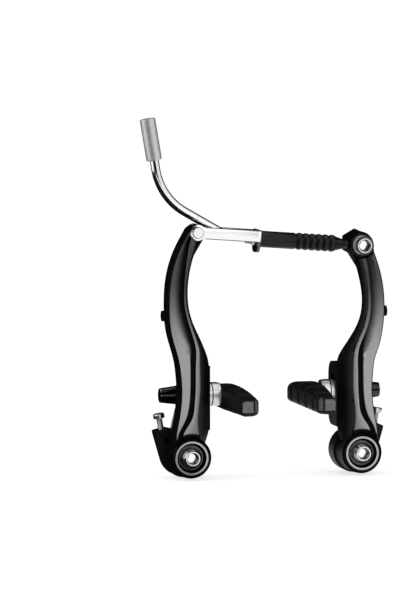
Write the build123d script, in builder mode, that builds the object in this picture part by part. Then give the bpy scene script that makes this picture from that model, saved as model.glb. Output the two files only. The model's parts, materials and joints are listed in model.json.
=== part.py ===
"""Linear-pull bicycle rim brake: two arms on frame bosses, pads, cable noodle, link and boot.

X runs to the right, Z up and Y from the viewer towards the bicycle frame. The origin lies midway between
the two pivot axes, on the plane where the bushings sit against the frame. Left-hand pieces are drawn with
their pivot axis on the Y axis (x grows towards the wheel), moved to their pivot, and mirrored for the right.
"""

import os
from math import cos, radians, sin, sqrt

from build123d import *

os.makedirs("parts", exist_ok=True)

# Driving sizes in millimetres
pivot_spacing = 82.0
barrel_front = 22.0
running_gap = 0.05
body_gap = 0.3

# Pivot: bushing, bolt and washer
boss_hole_d = 8.1
boss_fit_length = 8.0
bore_relief = 0.6
bushing_d = 11.2
recess_depth = 2.85
recess_d = 14.0
washer_d = 11.6
washer_hole_d = 6.4
washer_t = 1.2
washer_lift = 0.15
bolt_d = 6.0
bolt_length = 10.0
bolt_head_d = 9.6
bolt_rim_d = 6.7
bolt_head_side = 2.1
bolt_head_h = 4.6
socket_af = 5.0
socket_depth = 3.6
thread_chamfer = 0.6

# Arm: barrel and channel
barrel_d = 19.2
rim_ring_d = 16.0
rim_ring_h = 0.35
barrel_length = 12.6
barrel_proud = 0.3
moat_depth = 0.9
moat_inner_d = 16.2
moat_middle_d = 18.6
moat_outer_d = 21.8
front_wall = 3.0
side_wall = 2.0
inner_wall_x = 10.2
wall_lap = 1.0
edge_width = 0.7
edge_depth = 1.0
ditch_depth = 1.2
ditch_lean = 0.5
crest_depth = 0.2
crest_fall = 0.25
outer_wall_depth = 9.4
peg_z = 66.0
peg_d = 5.0
peg_depth = 5.6
peg_out = 12.9
peg_in = 9.8

# Slotted ear for the pad post
ear_face = 10.6
ear_t = 2.4
ear_front = 7.0
inner_wall_depth = 7.2
ear_back = 21.6
ear_bottom_z = 12.0
ear_top_z = 42.0
ear_round = 6.0
slot_up = 5.0
slot_down = 4.0

# Pad set
post_z = 28.0
post_depth = 14.5
post_d = 6.0
post_play = 0.3
pad_back = 16.5
pad_t = 10.6
pad_near = 36.5
pad_far = 23.0
pad_flat = 13.0
pad_taper = 2.8
pad_end_chamfer = 2.6
pad_bottom_z = 21.2
pad_crown_z = 32.2
pad_near_top_z = 28.4
pad_far_top_z = 29.8
pad_corner_round = 2.6
pad_back_round = 1.6
pad_groove_w = 2.0
pad_groove_d = 2.0
pad_groove_pitch = 13.0
pad_groove_count = 4
post_sink = 3.4
cup_d = 11.3
dome_d = 10.8
dome_edge_t = 0.9
ball_r = 8.0
washer_bore_play = 0.2
thick_cup_extra = 1.0
nut_d = 9.4
nut_tip_d = 6.8
nut_collar_t = 3.0
nut_tip_x = 11.8
nut_socket_depth = 4.6

# Spring housing, spring and tension screw
housing_d = 21.0
housing_t = 8.6
housing_back = 0.4
lug_tip_x = 12.8
lug_tip_z = 10.4
lug_top_x = 8.0
lug_top_z = 11.4
lug_round = 1.1
kidney_r = 8.0
kidney_w = 1.6
kidney_depth = 3.0
kidney_arc = 70.0
kidney_count = 3
kidney_turn = -45.0
lug_hole_d = 2.6
lug_hole_x = 8.6
lug_hole_z = 6.9
wire_d = 1.7
wire_play = 0.15
wire_y = 1.6
wire_bend_r = 3.0
spring_pin_out = 3.6
spring_foot_x = -6.9
spring_foot_z = 3.0
spring_rise_x = -1.4
spring_rise_z = 24.0
spring_lean_z = 44.0
spring_tip_x = -7.6
spring_tip_depth = 7.4
spring_tip_z = 66.0
spring_end_z = 74.0
screw_d = 3.0
screw_lean = 10.0
screw_x = 10.4
screw_z = 11.3
screw_y = 5.2
screw_in = 8.0
screw_out = 6.0
screw_head_d = 5.4
screw_head_h = 2.2
screw_head_round = 0.7
screw_slot_w = 0.9
screw_slot_length = 3.2
screw_slot_depth = 1.0

# Heads of the two arms
pin_x = 3.4
pin_z = 104.6
tongue_t = 6.0
tongue_r = 3.2
tongue_cheek_x = 1.1
tongue_cheek_z = 1.2
tongue_cheek_r = 4.4
tongue_root_x = -3.8
tongue_root_z = 91.0
tongue_root_r = 3.3
tongue_centre_y = 16.0
anchor_x = -0.4
anchor_z = 97.3
anchor_boss_r = 6.0
anchor_boss_front = 17.0
anchor_boss_t = 7.5
anchor_root_x = -4.3
anchor_root_z = 86.5
anchor_root_r = 3.6

# Link and its rivet
link_tilt = 4.6
link_gap = 6.6
link_plate_t = 1.5
link_plate_h = 5.5
link_eye_r = 3.7
link_length = 30.2
link_wall_t = 1.6
link_wall_up = 3.1
link_wall_down = 7.6
link_wall_round = 3.2
rivet_d = 3.2
rivet_head_d = 5.2
rivet_head_t = 0.7

# Cable noodle: tube, ferrule, tip and liner
cable_drop = 1.3
tube_d = 4.2
tube_bore_d = 2.7
tube_in_tip = 3.5
tube_in_ferrule = 5.5
noodle_bend_r = 28.0
elbow_drop = 17.7
entry_x = 16.0
ferrule_d = 7.3
ferrule_length = 19.4
ferrule_lean = 9.6
ferrule_x = -16.3
ferrule_z = 138.3
housing_cup_d = 5.1
housing_cup_depth = 12.0
ferrule_round = 0.5
tip_nose_d = 5.2
tip_nose_length = 7.4
tip_collar_d = 6.2
tip_collar_t = 1.5
tip_cone_length = 3.0
tip_cone_d = 5.0
liner_d = 2.5
liner_bore_d = 1.7

# Rubber boot
boot_d = 7.7
boot_sleeve = 17.6
boot_ridges = 6
boot_ridge_pitch = 3.15
boot_ridge_d = 8.0
boot_valley_d = 6.7
boot_neck_d = 3.8
boot_wall = 0.9
boot_neck_bore_d = 2.4

# Cable anchor on the right arm
clamp_washer_d = 11.2
clamp_washer_t = 2.4
cable_groove_d = 1.6
anchor_head_d = 8.9
anchor_head_h = 5.2
anchor_bolt_d = 6.0
anchor_bolt_play = 0.1
anchor_head_round = 0.6
anchor_nut_af = 11.4
anchor_nut_t = 4.5
anchor_nut_turn = 30.0
anchor_bolt_end = 0.6

# Values worked out from the sizes above
half = pivot_spacing / 2
front_y = -barrel_front
recess_y = front_y + recess_depth
bushing_front_y = recess_y - washer_lift
bolt_seat_y = bushing_front_y - washer_t
post_y = front_y + post_depth
ear_outer = ear_face - ear_t
barrel_face_y = front_y - barrel_proud
barrel_back_y = front_y + barrel_length
left_pivot = Location((-half, 0, 0))
post_axis = Axis((0, post_y, post_z), (1, 0, 0))
post_plane = Plane(origin=(0, post_y, post_z), x_dir=(1, 0, 0), z_dir=(0, -1, 0))


def viewed(y):
    """Plane facing the viewer at depth y, with X to the right and Z up."""
    return Plane.XZ.offset(-y)


def mirrored(piece):
    """Right-hand twin of a left-hand piece."""
    with BuildPart() as twin:
        mirror(piece.part, about=Plane.YZ)
    return twin


def at_left_pivot(piece):
    """A piece drawn about the Y axis, moved to the left pivot."""
    with BuildPart() as placed:
        with Locations(left_pivot):
            add(piece.part)
    return placed


# Arm channel: each station gives its height and the marks across the arm there, counted towards the wheel
class Station:
    def __init__(self, z, outer, face_end, ditch, crest_start, crest_end, back, back_depth):
        self.z = z
        self.outer = outer
        self.face_end = face_end
        self.ditch = ditch
        self.crest_start = crest_start
        self.crest_end = crest_end
        self.back = back
        self.back_depth = back_depth

    def shell(self):
        """Corners of the outside: eased edge, front face, ditch, crest, sloping inner wall and its flat."""
        return [
            (self.outer, front_y + edge_depth),
            (self.outer + edge_width, front_y),
            (self.face_end, front_y),
            (self.ditch, front_y + ditch_depth),
            (self.crest_start - ditch_lean, front_y + ditch_depth),
            (self.crest_start, front_y + crest_depth),
            (self.crest_end, front_y + crest_depth + crest_fall),
            (self.back, front_y + self.back_depth),
            (self.back, front_y + self.back_depth + wall_lap),
            (self.outer, front_y + outer_wall_depth),
        ]

    def pocket(self):
        """Corners of the channel inside the walls, open at the back."""
        inner_x = self.back - side_wall
        floor_x = min(self.crest_end, inner_x)
        open_depth = outer_wall_depth + body_gap
        reach = (open_depth - front_wall) / (self.back_depth - front_wall)
        return [
            (self.outer + side_wall, front_y + front_wall),
            (floor_x, front_y + front_wall),
            (floor_x + reach * (inner_x - floor_x), front_y + open_depth),
            (self.outer + side_wall, front_y + open_depth),
        ]


lower_stations = [
    Station(5.0, -7.8, -6.8, -6.4, -4.6, 3.9, 8.0, inner_wall_depth),
    Station(11.5, -7.6, -6.2, -5.8, -3.6, 3.5, 9.9, inner_wall_depth),
    Station(14.5, -7.1, -4.7, -4.2, -1.8, 3.1, inner_wall_x, inner_wall_depth),
    Station(18.5, -6.3, -2.7, -2.2, 0.5, 3.0, inner_wall_x, inner_wall_depth),
    Station(24.0, -5.5, -1.3, -0.8, 1.5, 3.5, inner_wall_x, inner_wall_depth),
    Station(31.0, -5.1, -0.7, -0.2, 2.0, 4.2, inner_wall_x, inner_wall_depth),
    Station(38.0, -5.5, -0.6, -0.1, 2.1, 4.2, inner_wall_x, inner_wall_depth),
    Station(44.0, -6.3, -0.7, -0.1, 2.2, 4.0, 9.8, inner_wall_depth),
]
left_stations = [
    Station(50.5, -8.0, -1.6, 0.6, 2.2, 3.7, 7.5, 6.2),
    Station(56.0, -9.6, -5.0, -0.6, 0.9, 2.0, 4.9, 5.4),
    Station(62.0, -10.7, -8.0, -2.4, -1.1, -0.1, 2.0, 4.8),
    Station(70.0, -11.1, -9.2, -4.4, -3.1, -2.2, -0.3, 4.5),
    Station(79.0, -10.8, -9.0, -4.7, -3.5, -2.6, -0.6, 4.8),
    Station(87.0, -9.5, -7.9, -4.0, -2.8, -1.6, 0.8, 6.2),
    Station(94.0, -7.3, -5.9, -3.2, -1.9, 0.1, 3.1, 7.6),
    Station(100.0, -4.5, -3.3, -1.9, -0.7, 1.9, 5.2, 8.0),
    Station(105.0, -1.7, -0.6, 0.2, 1.4, 3.4, 5.8, 8.0),
]
right_stations = [
    Station(49.5, -8.2, -2.6, -0.2, 1.5, 2.8, 7.1, 6.2),
    Station(55.0, -9.6, -6.2, -2.1, -0.7, 0.4, 3.7, 5.2),
    Station(61.0, -10.5, -8.2, -4.1, -2.9, -2.0, 0.7, 4.6),
    Station(70.0, -10.9, -9.0, -5.2, -4.0, -3.1, -1.1, 4.5),
    Station(79.0, -10.1, -8.4, -4.7, -3.5, -2.6, -0.4, 5.0),
    Station(86.5, -8.4, -6.6, -3.8, -2.6, -1.2, 1.1, 6.4),
    Station(93.0, -6.2, -4.2, -2.4, -1.1, 0.8, 3.0, 7.2),
    Station(98.0, -4.4, -2.6, -1.4, 0.0, 2.4, 4.6, 7.4),
]


def channel(stations, pocket_stations):
    """The arm's U-channel, lofted through its stations from the barrel to the head."""
    with BuildPart() as stretch:
        for station in stations:
            with BuildSketch(Plane.XY.offset(station.z)):
                Polygon(*station.shell(), align=None)
        loft()
        for station in pocket_stations:
            with BuildSketch(Plane.XY.offset(station.z)):
                Polygon(*station.pocket(), align=None)
        loft(mode=Mode.SUBTRACT)
    return stretch


left_channel = channel(lower_stations + left_stations, lower_stations[1:] + left_stations[:-3])
right_channel = channel(lower_stations + right_stations, lower_stations[1:] + right_stations[:-2])


def arm_with(channel_part):
    """The parts both arms share, built on one of the channels."""
    with BuildPart() as arm_core:
        add(channel_part)
        with BuildSketch(viewed(barrel_back_y)):
            Circle(barrel_d / 2)
        extrude(amount=barrel_length + barrel_proud)
        # Slotted ear behind the sloping inner wall
        with BuildSketch(Plane.YZ.offset(ear_outer)):
            with BuildLine():
                Polyline(
                    (front_y + ear_front, ear_bottom_z),
                    (front_y + ear_back, ear_bottom_z),
                    (front_y + ear_back, ear_top_z),
                    (front_y + ear_front, ear_top_z),
                    close=True,
                )
            make_face()
            rear_corners = vertices().group_by(Axis.X)[-1]
            fillet(rear_corners, ear_round)
        extrude(amount=ear_t)
        with BuildSketch(Plane.YZ.offset(ear_outer)):
            with Locations((post_y, post_z + (slot_up - slot_down) / 2)):
                SlotOverall(slot_up + slot_down + post_d + 2 * post_play, post_d + 2 * post_play, rotation=90)
        extrude(amount=ear_t, mode=Mode.SUBTRACT)
        # Hollow round the barrel's edge
        with BuildSketch():
            with BuildLine():
                Polyline(
                    (moat_inner_d / 2, front_y - moat_depth),
                    (moat_inner_d / 2, barrel_face_y),
                    (moat_middle_d / 2, front_y + moat_depth),
                    (moat_outer_d / 2, barrel_face_y),
                    (moat_outer_d / 2, front_y - moat_depth),
                    close=True,
                )
            make_face()
        revolve(axis=Axis.Y, mode=Mode.SUBTRACT)
        # Raised bright ring, recess and bore of the barrel
        with BuildSketch(viewed(barrel_face_y)):
            Circle(rim_ring_d / 2)
        extrude(amount=rim_ring_h)
        with BuildSketch(viewed(recess_y)):
            Circle(recess_d / 2)
        extrude(amount=recess_depth + barrel_proud + rim_ring_h, mode=Mode.SUBTRACT)
        with BuildSketch(viewed(barrel_back_y)):
            Circle(bushing_d / 2 + running_gap)
        extrude(amount=barrel_length, mode=Mode.SUBTRACT)
        # Spring peg on the outer wall
        with BuildSketch(Plane.YZ.offset(-peg_out)):
            with Locations((front_y + peg_depth, peg_z)):
                Circle(peg_d / 2)
        extrude(amount=peg_out - peg_in)
    return arm_core.part


tongue_front_y = -tongue_centre_y - tongue_t / 2
tongue_back_y = tongue_front_y + tongue_t

left_core = arm_with(left_channel.part)

with BuildPart() as left_arm_drawn:
    add(left_core)
    # Tongue for the link, with room for the link's eyes before and behind it
    with BuildSketch(viewed(tongue_front_y)):
        with Locations((pin_x, pin_z)):
            Circle(tongue_r)
        with Locations((pin_x - tongue_cheek_x, pin_z - tongue_cheek_z)):
            Circle(tongue_cheek_r)
        with Locations((tongue_root_x, tongue_root_z)):
            Circle(tongue_root_r)
        make_hull()
    extrude(amount=-tongue_t)
    with BuildSketch(viewed(tongue_front_y)):
        with Locations((pin_x, pin_z)):
            Circle(link_eye_r + body_gap)
    extrude(amount=barrel_front + tongue_front_y + edge_depth, mode=Mode.SUBTRACT)
    with BuildSketch(viewed(tongue_back_y)):
        with Locations((pin_x, pin_z)):
            Circle(link_eye_r + body_gap)
    extrude(amount=-tongue_t, mode=Mode.SUBTRACT)
    with BuildSketch(viewed(front_y)):
        with Locations((pin_x, pin_z)):
            Circle(rivet_d / 2 + running_gap)
    extrude(amount=-outer_wall_depth, mode=Mode.SUBTRACT)

right_core = arm_with(right_channel.part)

with BuildPart() as right_arm_drawn:
    add(right_core)
    # Room for the clamp washer before the boss of the cable anchor
    with BuildSketch(viewed(-anchor_boss_front)):
        with Locations((anchor_x, anchor_z)):
            Circle(anchor_boss_r + body_gap)
    extrude(amount=barrel_front - anchor_boss_front + edge_depth, mode=Mode.SUBTRACT)
    with BuildSketch(viewed(-anchor_boss_front)):
        with Locations((anchor_x, anchor_z)):
            Circle(anchor_boss_r)
        with Locations((anchor_root_x, anchor_root_z)):
            Circle(anchor_root_r)
        make_hull()
    extrude(amount=-anchor_boss_t)
    with BuildSketch(viewed(front_y)):
        with Locations((anchor_x, anchor_z)):
            Circle(anchor_bolt_d / 2 + anchor_bolt_play)
    extrude(amount=-2 * outer_wall_depth, mode=Mode.SUBTRACT)

left_arm = at_left_pivot(left_arm_drawn)
right_arm = mirrored(at_left_pivot(right_arm_drawn))

# Pivot sleeve with a close bore for the frame boss and a relieved front
with BuildPart() as bushing_drawn:
    with BuildSketch(Plane.XZ):
        Circle(bushing_d / 2)
    extrude(amount=-bushing_front_y)
    with BuildSketch(Plane.XZ):
        Circle(boss_hole_d / 2)
    extrude(amount=boss_fit_length, mode=Mode.SUBTRACT)
    with BuildSketch(viewed(bushing_front_y)):
        Circle(boss_hole_d / 2 + bore_relief)
    extrude(amount=bushing_front_y + boss_fit_length, mode=Mode.SUBTRACT)

with BuildPart() as bolt_washer_drawn:
    with BuildSketch(viewed(bushing_front_y)):
        Circle(washer_d / 2)
        Circle(washer_hole_d / 2, mode=Mode.SUBTRACT)
    extrude(amount=washer_t)

# Bolt with a tapered head and a hexagon socket
with BuildPart() as bolt_drawn:
    with BuildSketch():
        with BuildLine():
            Polyline(
                (0, bolt_seat_y - bolt_head_h),
                (bolt_rim_d / 2, bolt_seat_y - bolt_head_h),
                (bolt_head_d / 2, bolt_seat_y - bolt_head_side),
                (bolt_head_d / 2, bolt_seat_y),
                (bolt_d / 2, bolt_seat_y),
                (bolt_d / 2, bolt_seat_y + bolt_length - thread_chamfer),
                (bolt_d / 2 - thread_chamfer, bolt_seat_y + bolt_length),
                (0, bolt_seat_y + bolt_length),
                close=True,
            )
        make_face()
    revolve(axis=Axis.Y)
    with BuildSketch(viewed(bolt_seat_y - bolt_head_h)):
        RegularPolygon(socket_af / 2, 6, major_radius=False)
    extrude(amount=-socket_depth, mode=Mode.SUBTRACT)

# Spring path: anchor pin, rise behind the pad nut, then into the arm's channel
spring_tip_y = front_y + spring_tip_depth
spring_points = [
    (spring_foot_x, spring_pin_out, spring_foot_z),
    (spring_foot_x, -wire_y, spring_foot_z),
    (spring_rise_x, -wire_y, spring_rise_z),
    (spring_rise_x, -wire_y, spring_lean_z),
    (spring_tip_x, spring_tip_y, spring_tip_z),
    (spring_tip_x, spring_tip_y, spring_end_z),
]

with BuildPart() as spring_drawn:
    with BuildLine() as spring_line:
        FilletPolyline(*spring_points, radius=wire_bend_r)
    with BuildSketch(Plane(origin=spring_line.line @ 0, z_dir=spring_line.line % 0)):
        Circle(wire_d / 2)
    sweep(path=spring_line.line)

# Tension screw, leaning outwards
screw_axis = (-sin(radians(screw_lean)), 0, cos(radians(screw_lean)))
screw_plane = Plane(origin=(-screw_x, -screw_y, screw_z), x_dir=(0, 1, 0), z_dir=screw_axis)

with BuildPart() as screw_drawn:
    with BuildSketch(screw_plane.offset(-screw_in)):
        Circle(screw_d / 2)
    extrude(amount=screw_in + screw_out)
    with BuildSketch(screw_plane.offset(screw_out)):
        Circle(screw_head_d / 2)
    extrude(amount=screw_head_h)
    fillet(edges().group_by(Axis(screw_plane.origin, screw_axis))[-1], screw_head_round)
    with BuildSketch(screw_plane.offset(screw_out + screw_head_h)):
        Rectangle(screw_slot_length, screw_slot_w)
        Rectangle(screw_slot_w, screw_slot_length)
    extrude(amount=-screw_slot_depth, mode=Mode.SUBTRACT)

# Plastic ring round the bushing with the screw's lug
with BuildPart() as housing_drawn:
    with BuildSketch(viewed(-housing_back)):
        Circle(housing_d / 2)
        with Locations((-lug_tip_x, lug_tip_z), (-lug_top_x, lug_top_z)):
            Circle(lug_round)
        make_hull()
    extrude(amount=housing_t)
    with BuildSketch(viewed(-housing_back)):
        Circle(bushing_d / 2 + running_gap)
    extrude(amount=housing_t, mode=Mode.SUBTRACT)
    with BuildSketch(viewed(-housing_back)):
        with PolarLocations(0, kidney_count, start_angle=kidney_turn):
            SlotArc(
                CenterArc((0, 0), kidney_r, -kidney_arc / 2, kidney_arc, mode=Mode.PRIVATE),
                kidney_w,
            )
    extrude(amount=kidney_depth, mode=Mode.SUBTRACT)
    with BuildSketch(viewed(-housing_back)):
        with Locations((-lug_hole_x, lug_hole_z)):
            Circle(lug_hole_d / 2)
    extrude(amount=housing_t, mode=Mode.SUBTRACT)
    with BuildSketch(screw_plane.offset(-screw_in - screw_out)):
        Circle(screw_d / 2 + running_gap)
    extrude(amount=2 * screw_in + screw_out, mode=Mode.SUBTRACT)
    # Groove that holds the spring's wire
    wire_rise = Vector(spring_points[2]) - Vector(spring_points[1])
    with BuildSketch(Plane(origin=spring_points[1], x_dir=(0, 1, 0), z_dir=wire_rise)):
        with Locations((wire_y / 2, 0)):
            Rectangle(wire_d + wire_y + 2 * wire_play, wire_d + 2 * wire_play)
    extrude(amount=wire_rise.length, mode=Mode.SUBTRACT)
    with BuildSketch(Plane.XZ):
        with Locations((spring_points[0][0], spring_points[0][2])):
            Circle(wire_d / 2 + wire_play)
    extrude(amount=wire_y + wire_d / 2 + wire_play, mode=Mode.SUBTRACT)

# Rubber pad: one outline from above, one from the side, and grooves across its friction face
pad_face = pad_back + pad_t
pad_near_y = post_y - pad_near
pad_far_y = post_y + pad_far

with BuildPart() as pad_drawn:
    with BuildSketch(Plane.XY.offset(pad_bottom_z)):
        with BuildLine():
            Polyline(
                (pad_back, post_y + pad_flat / 2),
                (pad_back, post_y - pad_flat / 2),
                (pad_back + pad_taper, pad_near_y),
                (pad_face - pad_end_chamfer, pad_near_y),
                (pad_face, pad_near_y + pad_end_chamfer),
                (pad_face, pad_far_y - pad_end_chamfer),
                (pad_face - pad_end_chamfer, pad_far_y),
                (pad_back + pad_taper, pad_far_y),
                close=True,
            )
        make_face()
    extrude(amount=pad_crown_z)
    with BuildSketch(Plane.YZ.offset(pad_back)):
        with BuildLine():
            Polyline(
                (pad_near_y, pad_near_top_z),
                (pad_near_y, pad_bottom_z),
                (pad_far_y, pad_bottom_z),
                (pad_far_y, pad_far_top_z),
            )
            ThreePointArc((pad_far_y, pad_far_top_z), (post_y, pad_crown_z), (pad_near_y, pad_near_top_z))
        make_face()
        fillet(vertices(), pad_corner_round)
    extrude(amount=pad_t, mode=Mode.INTERSECT)
    back_rims = edges().filter_by(Axis.Z, reverse=True)
    fillet(back_rims.filter_by_position(Axis.X, pad_back, pad_back + pad_taper - body_gap), pad_back_round)
    with BuildSketch(Plane.YZ.offset(pad_face)):
        with Locations((post_y + (pad_far - pad_near) / 2, pad_bottom_z)):
            with GridLocations(pad_groove_pitch, 0, pad_groove_count, 1):
                Rectangle(pad_groove_w, pad_crown_z, align=(Align.CENTER, Align.CENTER))
    extrude(amount=-pad_groove_d, mode=Mode.SUBTRACT)
    with BuildSketch(Plane.YZ.offset(pad_back)):
        with Locations((post_y, post_z)):
            Circle(post_d / 2)
    extrude(amount=post_sink, mode=Mode.SUBTRACT)

post_end = -nut_tip_x + nut_socket_depth + thread_chamfer

with BuildPart() as post_drawn:
    with BuildSketch(Plane.YZ.offset(post_end)):
        with Locations((post_y, post_z)):
            Circle(post_d / 2)
    extrude(amount=pad_back + post_sink - post_end)


def ball_height(radius, ball):
    """Distance from the ball's centre to its face at a given radius."""
    return sqrt(ball**2 - radius**2)


def dome_washer(base, towards):
    """Ball washer with its flat on base; towards is the sign of the way its dome points."""
    bore = post_d / 2 + washer_bore_play
    edge = base + towards * dome_edge_t
    centre = edge - towards * ball_height(dome_d / 2, ball_r)
    crown = centre + towards * ball_height(bore, ball_r)
    with BuildPart() as washer:
        with BuildSketch(post_plane):
            with BuildLine():
                Polyline((crown, bore), (base, bore), (base, dome_d / 2), (edge, dome_d / 2))
                RadiusArc((edge, dome_d / 2), (crown, bore), towards * ball_r)
            make_face()
        revolve(axis=post_axis)
    return washer


def cup_washer(flat, dome_base, towards):
    """Hollow washer with its flat on the ear, round the dome that points at it."""
    bore = post_d / 2 + washer_bore_play
    ball = ball_r + body_gap
    centre = dome_base + towards * (dome_edge_t - ball_height(dome_d / 2, ball_r))
    rim = centre + towards * ball_height(cup_d / 2, ball)
    throat = centre + towards * ball_height(bore, ball)
    with BuildPart() as washer:
        with BuildSketch(post_plane):
            with BuildLine():
                Polyline((throat, bore), (flat, bore), (flat, cup_d / 2), (rim, cup_d / 2))
                RadiusArc((rim, cup_d / 2), (throat, bore), towards * ball)
            make_face()
        revolve(axis=post_axis)
    return washer


nut_seat = ear_face + ear_outer - pad_back - thick_cup_extra
inner_dome_drawn = dome_washer(pad_back, -1)
inner_cup_drawn = cup_washer(ear_face, pad_back, -1)
outer_dome_drawn = dome_washer(nut_seat, 1)
outer_cup_drawn = cup_washer(ear_outer, nut_seat, 1)

# Tapered nut with a hexagon socket in its tip
with BuildPart() as nut_drawn:
    with BuildSketch(post_plane):
        with BuildLine():
            Polyline(
                (nut_seat, 0),
                (nut_seat, nut_d / 2),
                (nut_seat - nut_collar_t, nut_d / 2),
                (-nut_tip_x, nut_tip_d / 2),
                (-nut_tip_x, 0),
                close=True,
            )
        make_face()
    revolve(axis=post_axis)
    with BuildSketch(Plane.YZ.offset(nut_seat)):
        with Locations((post_y, post_z)):
            Circle(post_d / 2)
    extrude(amount=post_end - nut_seat, mode=Mode.SUBTRACT)
    with BuildSketch(Plane.YZ.offset(-nut_tip_x)):
        with Locations((post_y, post_z)):
            RegularPolygon(socket_af / 2, 6, major_radius=False)
    extrude(amount=nut_socket_depth, mode=Mode.SUBTRACT)

# Link frame: x along the strip from the rivet, y up, z towards the viewer
link_x = -half + pin_x
tilt = radians(link_tilt)
along = Vector(cos(tilt), 0, -sin(tilt))
upward = Vector(sin(tilt), 0, cos(tilt))
link_plane = Plane(origin=(link_x, -tongue_centre_y, pin_z), x_dir=along, z_dir=(0, -1, 0))
link_width = link_gap + 2 * link_plate_t


def across_link(x, drop=0):
    """Plane square to the link's length at x, with Y to the right and its own y up."""
    origin = link_plane.origin + along * x - upward * drop
    return Plane(origin=origin, x_dir=(0, -1, 0), z_dir=-along)


with BuildPart() as noodle_link:
    with BuildSketch(link_plane.offset(-link_width / 2)):
        Circle(link_eye_r)
        Rectangle(link_length, link_plate_h, align=(Align.MIN, Align.CENTER))
    extrude(amount=link_width)
    with BuildSketch(link_plane.offset(-link_gap / 2)):
        with Locations((-2 * link_eye_r, 0)):
            Rectangle(
                link_length - link_wall_t + 2 * link_eye_r,
                4 * link_eye_r,
                align=(Align.MIN, Align.CENTER),
            )
    extrude(amount=link_gap, mode=Mode.SUBTRACT)
    with BuildSketch(across_link(link_length)):
        with Locations((0, (link_wall_up - link_wall_down) / 2)):
            Rectangle(link_width, link_wall_up + link_wall_down)
        fillet(vertices().group_by(Axis.Y)[0], link_wall_round)
    extrude(amount=link_wall_t)
    with BuildSketch(across_link(link_length, cable_drop)):
        Circle(tip_nose_d / 2 + running_gap)
        Rectangle(
            liner_d + 2 * body_gap,
            2 * link_wall_up + 2 * cable_drop,
            align=(Align.CENTER, Align.MIN),
        )
    extrude(amount=link_wall_t, mode=Mode.SUBTRACT)
    with BuildSketch(link_plane.offset(-link_width / 2)):
        Circle(rivet_d / 2)
    extrude(amount=link_width, mode=Mode.SUBTRACT)

with BuildPart() as link_pin:
    with BuildSketch(link_plane.offset(-link_width / 2 - rivet_head_t)):
        Circle(rivet_d / 2)
    extrude(amount=link_width + 2 * rivet_head_t)
    with BuildSketch(link_plane.offset(link_width / 2)):
        Circle(rivet_head_d / 2)
    extrude(amount=rivet_head_t)
    with BuildSketch(link_plane.offset(-link_width / 2)):
        Circle(rivet_head_d / 2)
    extrude(amount=-rivet_head_t)

# Noodle route in the link's middle plane, from the ferrule down to the tip
collar_end = link_length - link_wall_t - running_gap
collar_start = collar_end - tip_collar_t
lean = radians(ferrule_lean)
ferrule_up = Vector(-sin(lean), 0, cos(lean))
ferrule_foot = Vector(-half + ferrule_x, -tongue_centre_y, ferrule_z)


def on_cable(x):
    """Point on the cable's line through the link, x from the rivet."""
    return link_plane.origin + along * x - upward * cable_drop


tube_top = ferrule_foot + ferrule_up * tube_in_ferrule
tube_end = on_cable(collar_start - tip_cone_length + tube_in_tip)
elbow = ferrule_foot - ferrule_up * elbow_drop
entry = on_cable(entry_x)

with BuildLine() as noodle_line:
    FilletPolyline(tube_top, elbow, entry, tube_end, radius=noodle_bend_r)

with BuildPart() as noodle_tube:
    with BuildSketch(Plane(origin=tube_top, z_dir=-ferrule_up)):
        Circle(tube_d / 2)
        Circle(tube_bore_d / 2, mode=Mode.SUBTRACT)
    sweep(path=noodle_line.line)

liner_top = tube_top + ferrule_up * body_gap
liner_end = on_cable(collar_end + tip_nose_length)

with BuildLine() as liner_line:
    FilletPolyline(liner_top, elbow, entry, liner_end, radius=noodle_bend_r)

with BuildPart() as noodle_liner:
    with BuildSketch(Plane(origin=liner_top, z_dir=-ferrule_up)):
        Circle(liner_d / 2)
        Circle(liner_bore_d / 2, mode=Mode.SUBTRACT)
    sweep(path=liner_line.line)

with BuildPart() as noodle_ferrule:
    with BuildSketch(Plane(origin=ferrule_foot, z_dir=ferrule_up)):
        Circle(ferrule_d / 2)
    extrude(amount=ferrule_length)
    fillet(edges(), ferrule_round)
    with BuildSketch(Plane(origin=ferrule_foot, z_dir=ferrule_up)):
        Circle(tube_d / 2)
    extrude(amount=tube_in_ferrule, mode=Mode.SUBTRACT)
    with BuildSketch(Plane(origin=ferrule_foot, z_dir=ferrule_up)):
        Circle(tube_bore_d / 2)
    extrude(amount=ferrule_length, mode=Mode.SUBTRACT)
    with BuildSketch(Plane(origin=ferrule_foot + ferrule_up * ferrule_length, z_dir=-ferrule_up)):
        Circle(housing_cup_d / 2)
    extrude(amount=housing_cup_depth, mode=Mode.SUBTRACT)

# Turned tip: cone, collar and the nose that stands in the keyhole
tip_plane = Plane(origin=on_cable(0), x_dir=along, z_dir=(0, -1, 0))
cable_axis = Axis(on_cable(0), along)

with BuildPart() as noodle_tip:
    with BuildSketch(tip_plane):
        with BuildLine():
            Polyline(
                (collar_start - tip_cone_length, tube_d / 2),
                (collar_start - tip_cone_length, tip_cone_d / 2),
                (collar_start, tip_collar_d / 2),
                (collar_end, tip_collar_d / 2),
                (collar_end, tip_nose_d / 2),
                (collar_end + tip_nose_length, tip_nose_d / 2),
                (collar_end + tip_nose_length, liner_d / 2),
                (collar_start - tip_cone_length + tube_in_tip, liner_d / 2),
                (collar_start - tip_cone_length + tube_in_tip, tube_d / 2),
                close=True,
            )
        make_face()
    revolve(axis=cable_axis)

# Rubber boot over the nose, with bellows before its neck
anchor_at = half - anchor_x
boot_start = link_length + body_gap
boot_neck = (anchor_at - anchor_boss_r - body_gap - link_x) / cos(tilt)
bellows_start = boot_start + boot_sleeve
bellows_end = bellows_start + boot_ridges * boot_ridge_pitch
boot_bore_d = boot_valley_d - 2 * boot_wall

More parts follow.
